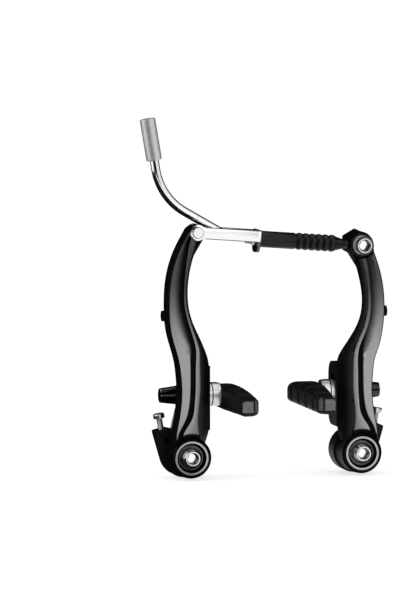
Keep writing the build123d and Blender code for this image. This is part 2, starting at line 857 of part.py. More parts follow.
with BuildPart() as cable_boot:
    with BuildSketch(tip_plane):
        with BuildLine():
            Polyline(
                (boot_start, tip_nose_d / 2),
                (boot_start, boot_d / 2),
                (bellows_start - boot_wall, boot_d / 2),
                (bellows_start, boot_valley_d / 2),
            )
            for ridge in range(boot_ridges):
                ridge_x = bellows_start + ridge * boot_ridge_pitch
                ThreePointArc(
                    (ridge_x, boot_valley_d / 2),
                    (ridge_x + boot_ridge_pitch / 2, boot_ridge_d / 2),
                    (ridge_x + boot_ridge_pitch, boot_valley_d / 2),
                )
            Polyline(
                (bellows_end, boot_valley_d / 2),
                (boot_neck - boot_wall, boot_neck_d / 2),
                (boot_neck, boot_neck_d / 2),
                (boot_neck, boot_neck_bore_d / 2),
                (boot_neck - boot_wall, boot_neck_bore_d / 2),
                (bellows_end, boot_bore_d / 2),
                (bellows_start, boot_bore_d / 2),
                (bellows_start - boot_wall, tip_nose_d / 2),
                (boot_start, tip_nose_d / 2),
            )
        make_face()
    revolve(axis=cable_axis)

# Cable anchor: plate washer, bolt and rear nut on the right arm's boss
washer_front = -anchor_boss_front - clamp_washer_t
nut_back = -anchor_boss_front + anchor_boss_t + anchor_nut_t

with BuildPart() as clamp_washer:
    with BuildSketch(viewed(-anchor_boss_front)):
        with Locations((anchor_at, anchor_z)):
            Circle(clamp_washer_d / 2)
            Circle(anchor_bolt_d / 2 + anchor_bolt_play, mode=Mode.SUBTRACT)
    extrude(amount=clamp_washer_t)
    with BuildSketch(Plane.YZ.offset(anchor_at)):
        with Locations((-anchor_boss_front, anchor_z - anchor_bolt_d / 2 - cable_groove_d / 2)):
            Circle(cable_groove_d / 2)
    extrude(amount=clamp_washer_d, both=True, mode=Mode.SUBTRACT)

with BuildPart() as anchor_bolt:
    with BuildSketch(viewed(washer_front)):
        with Locations((anchor_at, anchor_z)):
            Circle(anchor_head_d / 2)
    extrude(amount=anchor_head_h)
    fillet(edges().group_by(Axis.Y)[0], anchor_head_round)
    with BuildSketch(viewed(washer_front)):
        with Locations((anchor_at, anchor_z)):
            Circle(anchor_bolt_d / 2)
    extrude(amount=washer_front - nut_back - anchor_bolt_end)
    with BuildSketch(viewed(washer_front - anchor_head_h)):
        with Locations((anchor_at, anchor_z)):
            RegularPolygon(socket_af / 2, 6, major_radius=False)
    extrude(amount=-socket_depth, mode=Mode.SUBTRACT)

with BuildPart() as anchor_nut:
    with BuildSketch(viewed(-anchor_boss_front + anchor_boss_t)):
        with Locations((anchor_at, anchor_z)):
            RegularPolygon(anchor_nut_af / 2, 6, major_radius=False, rotation=anchor_nut_turn)
            Circle(anchor_bolt_d / 2, mode=Mode.SUBTRACT)
    extrude(amount=-anchor_nut_t)

# Every piece under its own name, the left-hand ones with their right-hand twins
pieces = {
    "left_arm": left_arm,
    "right_arm": right_arm,
    "noodle_link": noodle_link,
    "link_pin": link_pin,
    "noodle_tube": noodle_tube,
    "noodle_liner": noodle_liner,
    "noodle_ferrule": noodle_ferrule,
    "noodle_tip": noodle_tip,
    "cable_boot": cable_boot,
    "clamp_washer": clamp_washer,
    "anchor_bolt": anchor_bolt,
    "anchor_nut": anchor_nut,
}
paired = {
    "pivot_bushing": bushing_drawn,
    "pivot_bolt": bolt_drawn,
    "bolt_washer": bolt_washer_drawn,
    "spring_housing": housing_drawn,
    "return_spring": spring_drawn,
    "tension_screw": screw_drawn,
    "pad_block": pad_drawn,
    "pad_post": post_drawn,
    "inner_dome": inner_dome_drawn,
    "inner_cup": inner_cup_drawn,
    "outer_cup": outer_cup_drawn,
    "outer_dome": outer_dome_drawn,
    "pad_nut": nut_drawn,
}
for name, drawn in paired.items():
    placed = at_left_pivot(drawn)
    pieces["left_" + name] = placed
    pieces["right_" + name] = mirrored(placed)

for name, piece in pieces.items():
    piece.part.label = name
    export_step(piece.part, f"parts/{name}.step")
    print(name, len(piece.part.solids()), round(piece.part.volume, 1))
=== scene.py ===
# %% [markdown]
# A linear-pull rim brake, dressed for its portrait
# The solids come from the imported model, in metres: X to the right, Y towards the bicycle frame, Z up.
# This lesson sets the camera first, then gives every piece its finish, remakes the pieces whose real
# surface has more to show than the solid, such as cast faces, moulded rubber, bent wire and threads, and
# ends with the stage and its light.

# %% Load the frame
import json
from math import cos, radians, sin, sqrt

import bmesh
import bpy
from mathutils import Matrix, Vector


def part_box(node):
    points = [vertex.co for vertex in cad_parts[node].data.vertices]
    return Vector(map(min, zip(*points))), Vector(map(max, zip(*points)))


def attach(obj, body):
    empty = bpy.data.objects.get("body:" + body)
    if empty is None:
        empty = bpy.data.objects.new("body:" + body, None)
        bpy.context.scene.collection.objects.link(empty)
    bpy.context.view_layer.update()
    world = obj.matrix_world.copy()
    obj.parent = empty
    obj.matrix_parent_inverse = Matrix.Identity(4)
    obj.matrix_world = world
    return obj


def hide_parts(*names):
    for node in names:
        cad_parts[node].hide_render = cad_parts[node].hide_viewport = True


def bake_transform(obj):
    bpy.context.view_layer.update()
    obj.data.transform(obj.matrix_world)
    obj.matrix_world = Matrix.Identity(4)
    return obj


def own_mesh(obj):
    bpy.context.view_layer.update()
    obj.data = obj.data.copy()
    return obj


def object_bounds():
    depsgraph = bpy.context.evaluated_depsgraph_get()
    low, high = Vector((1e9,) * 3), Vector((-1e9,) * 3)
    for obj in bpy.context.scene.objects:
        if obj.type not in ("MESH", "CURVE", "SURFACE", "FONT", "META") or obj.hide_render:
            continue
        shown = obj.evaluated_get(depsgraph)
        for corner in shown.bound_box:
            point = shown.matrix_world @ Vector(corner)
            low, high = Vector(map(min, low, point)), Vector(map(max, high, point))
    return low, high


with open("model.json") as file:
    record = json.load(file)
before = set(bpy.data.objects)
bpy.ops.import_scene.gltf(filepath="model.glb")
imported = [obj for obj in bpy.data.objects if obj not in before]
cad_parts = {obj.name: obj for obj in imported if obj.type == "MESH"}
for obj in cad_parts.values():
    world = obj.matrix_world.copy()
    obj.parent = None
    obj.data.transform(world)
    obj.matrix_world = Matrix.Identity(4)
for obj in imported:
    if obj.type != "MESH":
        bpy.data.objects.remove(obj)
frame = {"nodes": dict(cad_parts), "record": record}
cad_box = [list(corner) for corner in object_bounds()]
nodes, record = frame["nodes"], frame["record"]
joints = {joint["name"]: joint for joint in record["behaviour"]["joints"]}
mm = 0.001

# %% [markdown]
# The camera stands a little to the left of the brake and slightly above it, far away with a long lens, so
# that upright lines stay upright. Its place is worked out from the size of the picture and the scale of
# the object in it. An orthographic camera would do nearly the same, but a long lens keeps the faint
# convergence of a real picture.

# %% Camera
picture_w, picture_h = 401, 601
pixels_per_metre = 2158.0
origin_pixel = (266.05, 451.8)
turn, rise = radians(-14.0), radians(5.5)
distance = 2.6
brake_middle = Vector((-0.035, -0.016, 0.07))

to_camera = Vector((sin(turn) * cos(rise), -cos(turn) * cos(rise), sin(rise)))
right = Vector((cos(turn), sin(turn), 0))
up = right.cross(-to_camera)
aim = right * ((picture_w / 2 - origin_pixel[0]) / pixels_per_metre)
aim += up * ((origin_pixel[1] - picture_h / 2) / pixels_per_metre)
aim += to_camera * (brake_middle - aim).dot(to_camera)

lens = bpy.data.cameras.new("portrait_lens")
lens.sensor_fit = "VERTICAL"
lens.sensor_height = 36.0
lens.lens = lens.sensor_height * distance * pixels_per_metre / picture_h
lens.clip_end = 20.0
camera = bpy.data.objects.new("portrait_camera", lens)
facing = to_camera.to_track_quat("Z", "Y")
camera.matrix_world = Matrix.LocRotScale(aim + to_camera * distance, facing, None)
bpy.context.scene.collection.objects.link(camera)
bpy.context.scene.camera = camera
bpy.context.scene.view_settings.view_transform = "Standard"
print("camera aims at", [round(v, 4) for v in aim], "with a lens of", round(lens.lens), "mm")


# %% [markdown]
# Every finish is a small sum: noise, distances and masks added and multiplied. Writing those sums as
# Python expressions is far easier to read than a list of links, so one class wraps a socket and overloads
# the operators. Wiring the nodes one by one would give the same trees, in ten times the lines.

# %% Shader maths
class Value:
    """A socket that can be added, multiplied and compared."""

    def __init__(self, tree, socket):
        self.tree, self.socket = tree, socket

    def math(self, operation, *entries):
        return self.tree.node("ShaderNodeMath", {"operation": operation}, dict(enumerate(entries)))

    def __add__(self, other):
        return self.math("ADD", self, other)

    def __sub__(self, other):
        return self.math("SUBTRACT", self, other)

    def __rsub__(self, other):
        return self.math("SUBTRACT", other, self)

    def __mul__(self, other):
        return self.math("MULTIPLY", self, other)

    __radd__, __rmul__ = __add__, __mul__

    def bigger(self, other):
        return self.math("MAXIMUM", self, other)

    def size(self):
        return self.math("ABSOLUTE", self)

    def root(self):
        return self.math("SQRT", self)

    def wave(self):
        return self.math("SINE", self)

    def between(self, low, high):
        """A smooth step from 0 at low to 1 at high."""
        settings = {"interpolation_type": "SMOOTHSTEP"}
        return self.tree.node("ShaderNodeMapRange", settings, {0: self, 1: low, 2: high})

    def spread(self):
        """Noise, which keeps to the middle of its range, stretched over all of it."""
        return self.between(0.3, 0.7)


print("shader maths ready")


# %% [markdown]
# Two more classes make the nodes themselves. A tree makes whatever node is asked for, with its settings
# first and then its values or links, and serves materials, the sky and Geometry Nodes alike. A finish is
# a tree with a principled shader in it, and knows the place on the object, noise, marks and bumps.

# %% Trees and finishes
class Tree:
    """A node tree that makes whatever node is asked for."""

    def __init__(self, tree):
        self.tree = tree

    def node(self, kind, settings=None, entries=None, output=0):
        made = self.tree.nodes.new(kind)
        for label, value in (settings or {}).items():
            setattr(made, label, value)
        for key, value in (entries or {}).items():
            if isinstance(value, Value):
                self.tree.links.new(value.socket, made.inputs[key])
            else:
                made.inputs[key].default_value = value
        return Value(self, made.outputs[output])

    def mix(self, mask, low, high):
        """A colour that goes from low to high as the mask rises."""
        return self.node("ShaderNodeMix", {"data_type": "RGBA"}, {0: mask, 6: low, 7: high}, output=2)


class Finish(Tree):
    """A material with a principled shader, built by expressions."""

    def __init__(self, name, **fixed):
        self.material = bpy.data.materials.new(name)
        self.material.use_nodes = True
        super().__init__(self.material.node_tree)
        self.shader = self.tree.nodes["Principled BSDF"]
        for label, value in fixed.items():
            self.shader.inputs[label.replace("_", " ")].default_value = value
        self.place = self.node("ShaderNodeTexCoord", output="Object")
        self.x, self.y, self.z = (
            self.node("ShaderNodeSeparateXYZ", {}, {0: self.place}, output=i) for i in range(3)
        )

    def noise(self, scale, stretch=(1, 1, 1), detail=3.0):
        """Grey noise with about scale spots to the metre, stretched where a factor is below 1."""
        spread = self.node("ShaderNodeVectorMath", {"operation": "MULTIPLY"}, {0: self.place, 1: stretch})
        return self.node("ShaderNodeTexNoise", {}, {"Vector": spread, "Scale": scale, "Detail": detail})

    def mark(self, label):
        """A number that mesh code has written on the faces."""
        return self.node("ShaderNodeAttribute", {"attribute_name": label}, output=2)

    def feed(self, **sockets):
        for label, value in sockets.items():
            self.tree.links.new(value.socket, self.shader.inputs[label.replace("_", " ")])

    def bump(self, height, distance, strength):
        lifted = {"Height": height, "Distance": distance, "Strength": strength}
        self.feed(Normal=self.node("ShaderNodeBump", {}, lifted))


def grey(level, tint=0.0):
    """A neutral colour, a touch bluer where tint is above nought."""
    return (level, level * (1 + tint / 2), level * (1 + tint), 1.0)


# Finishes for the record's material slots, and those that single nodes have of their own
slot_finish, own_finish = {}, {}
print("trees and finishes ready")

# %% [markdown]
# The arms are cast aluminium, blacked all over. The front faces are brushed along the arm and shine
# softly; their tone is painted darker towards the top, as painted shade, and high up, most on the right
# arm, it fades deeper into the trough as painted shading. The sides are plain black, and the wall that
# slopes to the wheel is painted a little lighter, a painted sheen where it catches light. The barrel
# carries a ring that was turned bright. One material does it all, with masks made from the depth behind
# the front plane, the distance from the pivot axis, and two marks that mesh code writes on the faces. A
# painted picture could mark the same areas, but masks from coordinates stay sharp however near the camera
# comes.

# %% Places on the black arms
pivot_x = -joints["left_arm_pivot"]["pos_m"][0]
front_y = -22 * mm
ring_in, ring_out, ring_edge = 7.0 * mm, 7.85 * mm, 0.05 * mm
face_start, face_full = 10.9 * mm, 11.9 * mm
edge_start, edge_end, edge_extra = 0.12 * mm, 0.78 * mm, 0.4 * mm

black = Finish("satin_black_alloy", Specular_IOR_Level=0.04)
across = black.x.size() - pivot_x
radius = (across * across + black.z * black.z).root()
depth = black.y - front_y
inside_ring = radius.between(ring_in - ring_edge, ring_in)
outside_ring = radius.between(ring_out - ring_edge, ring_out + ring_edge)
ring = inside_ring * (1 - outside_ring) * (1 - depth.between(-0.3 * mm, -0.2 * mm))

# Painted shading: high up the brushed tone fades deeper into the trough, and twice as far on the right arm,
# as painted light on the slope that faces the light from the left.
right_arm_painted_light = black.x.between(-1 * mm, 1 * mm)
high_up = black.z.between(40 * mm, 62 * mm)
fade_end = high_up * (edge_extra + right_arm_painted_light * edge_extra) + edge_end
faced = (1 - depth.between(edge_start, fade_end)) * radius.between(face_start, face_full)
faced = faced * black.mark("brushed") * (1 - black.mark("inner_wall"))
# Painted sheen: the wall that slopes to the wheel is painted lighter near the front, where it catches
# light.
painted_wall_sheen = black.mark("inner_wall") * (1 - depth.between(0.2 * mm, 4.5 * mm))
print("masks on the arms:", len(black.tree.nodes), "nodes")

# %% [markdown]
# With the masks made, the tones follow: near black for the cast skin, a little lighter on the sloping
# wall as painted sheen, brushed grey for the faces, painted darker upwards as painted shade, and fine
# circles for the ring. Where it is bare, the surface is metal, so the same masks set Metallic.

# %% Tones of the black arms
streaks = black.noise(5200, stretch=(1, 1, 0.04))
mottle, grain = black.noise(260), black.noise(9000)
ring_waves = 9000
turning = (radius * ring_waves).wave()
bare = ring.bigger(faced)

cast_skin = black.mix(mottle.spread(), grey(0.0015), grey(0.003))
# The sloping wall's lighter tone is painted sheen.
cast_skin = black.mix(painted_wall_sheen, cast_skin, grey(0.03))
stroke = streaks.between(0.2, 0.8)
lower = black.mix(stroke, grey(0.29), grey(0.35, 0.02))
# The upper tone is painted shade: the brushed faces are painted darker towards the top.
painted_shade_top = black.mix(stroke, grey(0.055), grey(0.08, 0.02))
brushed = black.mix(black.z.between(45 * mm, 85 * mm), lower, painted_shade_top)
bright = black.mix(turning.between(-1, 1), grey(0.34), grey(0.50))
black.feed(
    Base_Color=black.mix(ring, black.mix(faced, cast_skin, brushed), bright),
    Metallic=bare,
    Roughness=0.30 + streaks * 0.08 - mottle * 0.04 + (1 - bare) * 0.14,
)
black.bump(grain * 0.5 + streaks * faced, distance=0.008 * mm, strength=0.25)
slot_finish["black_paint"] = black
print("black finish for the arms:", len(black.tree.nodes), "nodes")

# %% [markdown]
# Small steel parts are zinc plated: bright, slightly blue, with the faint cloudiness of the plating and
# fine scratches from tumbling in a drum. The tube is polished, its ferrule turned and left satin, the
# springs are drawn wire, the washers under the pivot bolts are dark chrome, with a tone kept very dark as
# painted shade of the recess round them, and the cable's clamp washer and nut are blackened steel. One
# helper makes them all, because they differ only in tone, gloss and the way the scratches run.

# %% Plated and polished metals


def plated(name, low, high, rough, tint, streak):
    """A plated or polished metal with cloudy tone, fine scratches and uneven gloss."""
    metal = Finish(name, Metallic=1.0)
    cloud = metal.noise(420)
    scratch = metal.noise(2600, streak, detail=2.0)
    metal.feed(
        Base_Color=metal.mix(cloud.spread(), grey(low, tint), grey(high, tint)),
        Roughness=rough + cloud * 0.04 + scratch * 0.04,
    )
    metal.bump(scratch, distance=0.004 * mm, strength=0.15)
    return metal


# Each slot's finish by name, darkest and lightest tone, roughness, blue tint and way of the scratches
metals = {
    "zinc_steel": ("bright_zinc", 0.56, 0.66, 0.20, 0.02, (1, 1, 0.1)),
    "polished_alloy": ("polished_tube", 0.74, 0.80, 0.06, 0.0, (0.2, 1, 0.2)),
    "satin_alloy": ("satin_ferrule", 0.60, 0.68, 0.48, 0.0, (1, 1, 0.06)),
    # The washers in the barrel's recess are dark chrome whose very dark tone is partly painted shade.
    "dark_steel": ("dark_chrome", 0.05, 0.08, 0.14, 0.03, (1, 1, 1)),
    "spring_steel": ("drawn_wire", 0.30, 0.42, 0.25, 0.0, (1, 1, 0.05)),
    "black_oxide": ("black_oxide_steel", 0.010, 0.018, 0.34, 0.0, (1, 1, 1)),
}
for slot, recipe in metals.items():
    slot_finish[slot] = plated(*recipe)
print("slots with a finish:", list(slot_finish))

# %% [markdown]
# The pivot bolts and the anchor bolt have a turned head, a bright rim round the hexagon socket and a
# bare, shiny bottom in it, painted near white, partly as a painted highlight. The socket's walls are
# painted dark grey, which is painted shade in the socket, and the side of the head is painted light grey
# as a painted highlight. Rings and depth round the bolt's own axis mark those places. The mark of a tool
# that cuts a rim is a sharp step, so narrow smooth steps are enough and no picture is needed.

# %% Bolts with a bright socket
rim_in, rim_out = 2.9 * mm, 3.3 * mm
head_waves = 12000


def socketed(name, centre_x, centre_z, socket_bottom, cone, side_from, head_y):
    """A turned bolt along Y, with a head of tone cone, painted shade on the socket walls and a painted
    highlight on the side from a radius outwards.
    """
    bolt = Finish(name, Metallic=1.0)
    sideways, upwards = bolt.x.size() - centre_x, bolt.z - centre_z
    off_axis = (sideways * sideways + upwards * upwards).root()
    rim = off_axis.between(rim_in, rim_in + 0.1 * mm)
    rim = rim * (1 - off_axis.between(rim_out, rim_out + 0.12 * mm))
    # Painted shade: the socket's walls take a dark grey.
    shaded_socket_walls = 1 - off_axis.between(rim_in - 0.1 * mm, rim_in)
    # Painted highlight, in part: the socket's bare steel bottom is painted near white.
    bottom = bolt.y.between(socket_bottom - 0.2 * mm, socket_bottom - 0.1 * mm)
    bottom = bottom * (1 - off_axis.between(1.9 * mm, 2.3 * mm))
    # Painted highlight: the side of the head is painted light grey.
    painted_side_highlight = off_axis.between(side_from - 0.1 * mm, side_from)
    painted_side_highlight = painted_side_highlight * bolt.y.between(head_y + 0.4 * mm, head_y + 0.9 * mm)
    turned = (off_axis * head_waves).wave() * 0.03
    head = bolt.mix(bolt.noise(500).spread(), grey(cone), grey(cone * 1.5))
    walls = bolt.mix(shaded_socket_walls, bolt.mix(painted_side_highlight, head, grey(0.70)), grey(0.12))
    bolt.feed(
        Base_Color=bolt.mix(bottom.bigger(rim * 0.8), walls, grey(0.90)),
        Roughness=0.22 + turned + shaded_socket_walls * 0.05 - bottom * 0.15 + painted_side_highlight * 0.38,
    )
    return bolt


pivot_bolt = socketed(
    "pivot_bolt_finish",
    centre_x=pivot_x,
    centre_z=0.0,
    socket_bottom=-21.5 * mm,
    cone=0.34,
    side_from=6.0 * mm,
    head_y=front_y,
)
own_finish["left_pivot_bolt"] = own_finish["right_pivot_bolt"] = pivot_bolt
own_finish["anchor_bolt"] = socketed(
    "anchor_bolt_finish",
    centre_x=41.4 * mm,
    centre_z=97.3 * mm,
    socket_bottom=-21.0 * mm,
    cone=0.05,
    side_from=4.1 * mm,
    head_y=-24.6 * mm,
)
print("bolts with their own finish:", list(own_finish))

# %% [markdown]
# The link is a punched steel strip: its faces are bright and brushed along the strip. Its sheared edges
# are painted dark grey, for the dull sheared steel and as painted shade along the edges, and so is the
# seam round the rivet, as painted shade and grime in the gap. Distances are measured along and across
# the strip, which leans a little, as the cable's line does. Turning the pattern with a Mapping node would
# do the same, less plainly.

# %% Punched link
cable_way = Vector(joints["noodle_swivel"]["axis"])
pin_x, _, pin_z = joints["link_pivot"]["pos_m"]
seam_in, seam_out, seam_edge = 2.3 * mm, 2.8 * mm, 0.15 * mm
shear_start, shear_full = 2.25 * mm, 2.45 * mm

strip = Finish("punched_link", Metallic=1.0)
from_pin_x, from_pin_z = strip.x - pin_x, strip.z - pin_z
along_strip = from_pin_x * cable_way.x + from_pin_z * cable_way.z
off_line = (from_pin_z * cable_way.x - from_pin_x * cable_way.z).size()
from_pin = (from_pin_x * from_pin_x + from_pin_z * from_pin_z).root()
# Painted shade: dark grey in the gap round the rivet, with its grime, and along the strip's long edges.
seam_shade = from_pin.between(seam_in, seam_in + seam_edge)
seam_shade = seam_shade * (1 - from_pin.between(seam_out - seam_edge, seam_out))
edge_shade = off_line.between(shear_start, shear_full) * along_strip.between(3.2 * mm, 3.6 * mm)
hairline = strip.noise(3400, stretch=(0.03, 1, 1), detail=2.0)
strip_face = strip.mix(hairline.spread(), grey(0.80), grey(0.84))
strip.feed(
    Base_Color=strip.mix(seam_shade.bigger(edge_shade), strip_face, grey(0.10)),
    Roughness=0.14 + hairline * 0.06,
)
strip.bump(hairline, distance=0.004 * mm, strength=0.2)
own_finish["noodle_link"] = own_finish["link_pin"] = strip
print("link finish with", len(strip.tree.nodes), "nodes")

# %% [markdown]
# The cup and dome washers at the pads are turned and left satin. Their turning marks run round the pad
# post, so the marks are waves along the post's direction, X, and the dark line round each inner cup,
# painted shade in the gap where dome and cup meet, is a narrow band of X. The nuts outside them are dark
# chrome, worn bright at the tip by keys. Real grooves would be too fine to see at this size, so a faint
# bump and a change of gloss stand for them.

# %% Turned washers and chromed nuts
cup_line_in, cup_line_out = 28.1 * mm, 28.9 * mm
nut_tip_x = 52.55 * mm
washer_waves = 16000

washer = Finish("turned_washer", Metallic=1.0)
marks = (washer.x * washer_waves).wave()
patches = washer.noise(600)
off_middle = washer.x.size()
# Painted shade: a dark line where dome and cup meet.
cup_gap_shade = off_middle.between(cup_line_in, cup_line_in + 0.2 * mm)
cup_gap_shade = cup_gap_shade * (1 - off_middle.between(cup_line_out - 0.2 * mm, cup_line_out))
washer_face = washer.mix(patches.spread(), grey(0.62), grey(0.76))
washer.feed(
    Base_Color=washer.mix(cup_gap_shade, washer_face, grey(0.05)),
    Roughness=0.28 + patches * 0.10 + marks * 0.03,
)
washer.bump(marks, distance=0.002 * mm, strength=0.3)

nut = Finish("chromed_nut", Metallic=1.0)
smudge = nut.noise(700)
nut_face = nut.mix(smudge.spread(), grey(0.03), grey(0.06))
nut_tip = nut.x.size().between(nut_tip_x, nut_tip_x + 0.15 * mm)
nut.feed(
    Base_Color=nut.mix(nut_tip, nut_face, grey(0.5)),
    Roughness=0.10 + smudge * 0.08,
)
for side in ("left", "right"):
    own_finish[side + "_pad_nut"] = nut
    for kind in ("inner_cup", "inner_dome", "outer_cup", "outer_dome"):
        own_finish[side + "_" + kind] = washer
print("own finishes:", len(own_finish))

# %% [markdown]
# Rubber and plastic are black too, but each in its own way: the boot is smooth moulded rubber with a soft
# sheen, the pads are a harder compound with a dusty bloom, and the spring housings are glass-filled
# plastic. Only the liner in the tube is pale. One helper gives them all their grain and bloom.

# %% Rubber and plastic


def moulded(name, low, high, rough, spots, lift, shine):
    """A moulded surface with a bloom of lighter tone and a fine grain."""
    skin = Finish(name, Specular_IOR_Level=shine)
    bloom = skin.noise(180)
    skin.tone = skin.mix(bloom.between(0.35, 0.75), grey(low), grey(high))
    skin.feed(Base_Color=skin.tone, Roughness=rough + bloom * 0.16)
    skin.bump(skin.noise(spots), distance=lift, strength=0.5)
    return skin


# Each slot's finish by name, darkest and lightest tone, roughness, spots to the metre, height and shine
mouldings = {
    "black_rubber": ("boot_rubber", 0.002, 0.004, 0.26, 3200, 0.006 * mm, 0.26),
    "pad_rubber": ("pad_compound", 0.002, 0.006, 0.46, 2400, 0.05 * mm, 0.2),
    "black_plastic": ("housing_plastic", 0.001, 0.003, 0.44, 4200, 0.03 * mm, 0.2),
    "liner_plastic": ("liner_plastic", 0.60, 0.70, 0.40, 3000, 0.01 * mm, 0.2),
}
for slot, recipe in mouldings.items():
    slot_finish[slot] = moulded(*recipe)
print("all finishes:", len(slot_finish) + len(own_finish))

# %% [markdown]
# The near end of a pad is paler: a panel on the flat end, and a strip on the bevel towards the wheel,
# both above a dark rim. The strip's paler tone is a painted highlight where the bevel catches the light.
# The marks are bands of the three coordinates, and the new tones are mixed over the moulded one.

# %% Pale ends of the pads
panel_y, strip_y, rim_z = -43.95 * mm, -42.4 * mm, 22.8 * mm
panel_x, strip_x = 16.9 * mm, 16.3 * mm

compound = slot_finish["pad_rubber"]
from_wheel = compound.x.size()
above_rim = compound.z.between(rim_z, rim_z + 0.5 * mm)
panel = from_wheel.between(panel_x, panel_x + 0.4 * mm) * above_rim
panel = panel * (1 - compound.y.between(panel_y, panel_y + 0.45 * mm))
# Painted highlight: the strip on the bevel is paler where it catches the light.
bevel = (1 - from_wheel.between(strip_x - 0.3 * mm, strip_x)) * above_rim
bevel = bevel * (1 - compound.y.between(strip_y, strip_y + 0.6 * mm))
speckle = compound.noise(900).spread()
panel_tone = compound.mix(speckle, grey(0.14), grey(0.19))
bevel_highlight_tone = compound.mix(speckle, grey(0.07), grey(0.10))
with_panel = compound.mix(panel, compound.tone, panel_tone)
compound.feed(Base_Color=compound.mix(bevel, with_panel, bevel_highlight_tone))
print("pad compound:", len(compound.tree.nodes), "nodes")

# %% [markdown]
# Each solid is given its own finish, or else the finish of its slot in the record. A solid whose shape is
# right stays as it is and needs nothing more.

# %% Finish on every solid
slot_of = {entry["node"]: entry["material_slot"] for entry in record["subparts"]}
body_with = {node: body for body, held in record["behaviour"]["bodies"].items() for node in held}


def finish_for(node):
    return own_finish.get(node) or slot_finish[slot_of[node]]


for node, solid in nodes.items():
    solid.data.materials.clear()
    solid.data.materials.append(finish_for(node).material)
print("dressed", len(nodes), "solids")

# %% [markdown]
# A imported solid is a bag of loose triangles. The castings, the link and the boot are remade from it: the
# triangles are joined, and edges flatter than a chosen angle are shaded smooth, so the cast faces roll
# softly into each other. These helpers turn mesh code into a plain mesh, and a plain mesh into a piece
# that stands for a solid.

# %% Helpers for remade pieces


def as_piece(name, plain, node):
    """Links a finished mesh as a piece that stands for a solid, and hides that solid."""
    piece = bpy.data.objects.new(name, plain)
    bpy.context.scene.collection.objects.link(piece)
    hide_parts(node)
    return piece


def joined(node):
    """A solid's triangles, joined where they touch."""
    work = bmesh.new()
    work.from_mesh(nodes[node].data)
    bmesh.ops.remove_doubles(work, verts=work.verts, dist=0.001 * mm)
    return work


def plain_mesh(name, work, smooth_below, finish, face_marks=None):
    """A clean mesh from mesh code, smooth across flat edges, with marks if a rule gives them."""
    work.verts.index_update()
    work.normal_update()
    written = face_marks(work) if face_marks else {}
    plain = bpy.data.meshes.new(name)
    plain.from_pydata([v.co for v in work.verts], [], [[v.index for v in f.verts] for f in work.faces])
    work.free()
    for label, values in written.items():
        plain.attributes.new(label, "FLOAT", "FACE").data.foreach_set("value", values)
    plain.shade_smooth()
    plain.set_sharp_from_angle(angle=radians(smooth_below))
    plain.materials.append(finish.material)
    return plain


print("helpers ready")

# %% [markdown]
# The arms get the two marks that their finish reads: where a brush could reach, which is everywhere but
# on the outer sides, and the wall that slopes back towards the wheel. The link's hard edges are eased, as
# a tumbled edge is. A Bevel modifier could ease them as well, but on joined triangles it is easier to
# choose edges in mesh code.

# %% Remade castings and link
side_limit, wall_limit, wall_depth = 0.3, -0.5, 2 * mm


def arm_marks(work):
    """Marks for an arm's faces, by how far they turn outwards and how deep they reach."""
    written = {"brushed": [], "inner_wall": []}
    for face in work.faces:
        outwards = face.normal.x * (1 if face.calc_center_median().x > 0 else -1)
        deepest = max(corner.co.y for corner in face.verts) - front_y
        written["brushed"].append(float(outwards < side_limit))
        written["inner_wall"].append(float(outwards < wall_limit and deepest > wall_depth))
    return written


def remade(node, smooth_below, ease=0.0, face_marks=None):
    """A piece that stands for one solid, with eased edges if ease is given."""
    work = joined(node)
    if ease:
        bmesh.ops.dissolve_limit(work, angle_limit=radians(1), verts=work.verts, edges=work.edges)
        sharp = [e for e in work.edges if e.is_manifold and e.calc_face_angle() > radians(smooth_below)]
        bmesh.ops.bevel(
            work, geom=sharp, offset=ease, segments=2, profile=0.5, affect="EDGES", clamp_overlap=True
        )
    name = node + "_skin"
    plain = plain_mesh(name, work, smooth_below, finish_for(node), face_marks)
    print(name, len(plain.polygons), "faces")
    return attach(as_piece(name, plain, node), body_with[node])


remade("left_arm", smooth_below=36, face_marks=arm_marks)
remade("right_arm", smooth_below=36, face_marks=arm_marks)
remade("noodle_link", smooth_below=28, ease=0.3 * mm)

# %% [markdown]
# A pad is moulded rubber with a crowned back, rounded shoulders and four slots across the friction face,
# whose lips are rounded and which wrap a little over the lower and upper edge. Its shape follows a rule
# along its length: at every station the cross-section is a rectangle with rounded corners, whose width
# comes from the plan and whose height comes from the crown. Sculpting would round it as well, but not
# evenly.

# %% Sections of a pad
# Millimetres, in the place of the left pad, whose box gives back and face, both ends and the bottom
(back_x, near_y, bottom_z), (face_x, far_y, _) = (
    [round(v / mm, 3) for v in corner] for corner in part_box("left_pad_block")
)
crown_z = 32.2
post_y = joints["left_pad_twist"]["pos_m"][1] / mm
near_reach, far_reach = post_y - near_y, far_y - post_y
near_drop, far_drop = 3.8, 2.4
back_flat, back_run, back_taper = 6.5, 30.0, 2.2
end_bevel, end_round = 2.6, 0.8
shoulder_round, shoulder_loss = 3.4, 2.0
back_round_top, back_round_low, face_round_low = 1.5, 1.4, 2.2
slot_pitch, slot_half, slot_deep, slot_wrap, slot_lip = 13.0, 1.0, 2.0, 1.2, 0.9
slot_centres = [(near_y + far_y) / 2 + slot_pitch * (i - 1.5) for i in range(4)]


def quarter_round(away, size):
    """What a rounded edge takes off at a distance from the edge."""
    return size * (1 - sqrt(max(0.0, 1 - (1 - min(away, size) / size) ** 2)))


